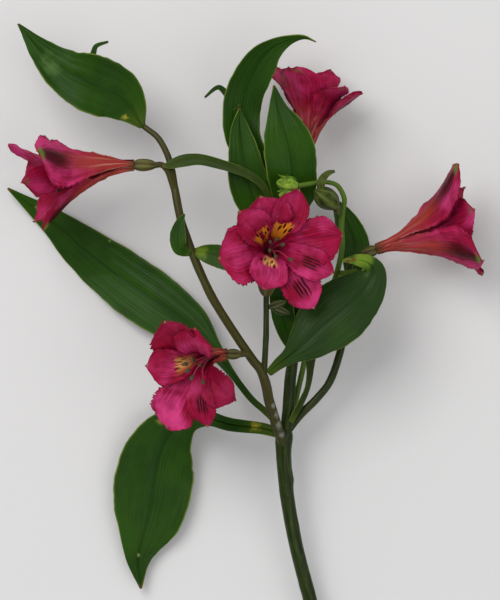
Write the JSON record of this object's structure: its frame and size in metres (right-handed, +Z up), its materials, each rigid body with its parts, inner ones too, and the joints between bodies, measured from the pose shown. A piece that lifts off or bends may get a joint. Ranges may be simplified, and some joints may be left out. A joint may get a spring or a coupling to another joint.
{
  "type": "alstroemeria stem",
  "caption": "Cut alstroemeria stem lying down, with long twisted leaves, magenta trumpet blooms on branching rays, ribbed ovaries and closed buds.",
  "frame": {"origin": "on the surface that the stem lies on, under the middle of its box", "axes": "+Y along the stem from the cut end to the blooms, +Z up, the face that shows in the picture"},
  "size_m": [0.2168, 0.3212, 0.0765],
  "materials": {
    "stem": "fresh green stem, satin",
    "leaf": "fresh leaf, satin, with parallel veins",
    "bract": "fresh bract, satin",
    "tepal": "soft matte petal",
    "ovary": "fresh, satin",
    "stamen": "matte",
    "bud_yellow": "fresh bud, satin",
    "bud_olive": "fresh bud, satin"
  },
  "bodies": {
    "root": {"stem": "stem", "leaf_upper_left": "leaf", "leaf_long_left": "leaf", "leaf_lower_left": "leaf", "leaf_top_curl": "leaf", "leaf_upright_left": "leaf", "leaf_upright_right": "leaf", "leaf_hooded": "leaf", "leaf_behind_right": "leaf", "leaf_behind_centre": "leaf", "leaf_small_node": "leaf", "leaf_cross": "leaf", "leaf_ribbon": "leaf", "leaf_twisted": "leaf", "bract_folded": "bract", "bloom_left": "tepal", "bloom_centre": "tepal", "bloom_lower": "tepal", "bloom_right": "tepal", "bloom_top": "tepal", "ovary_left": "ovary", "ovary_centre": "ovary", "ovary_lower": "ovary", "ovary_right": "ovary", "ovary_top": "ovary", "stamens_left": "stamen", "stamens_centre": "stamen", "stamens_lower": "stamen", "stamens_right": "stamen", "bud_yellow": "bud_yellow", "bud_olive": "bud_olive", "buds_small": "bud_olive"}
  },
  "joints": []
}
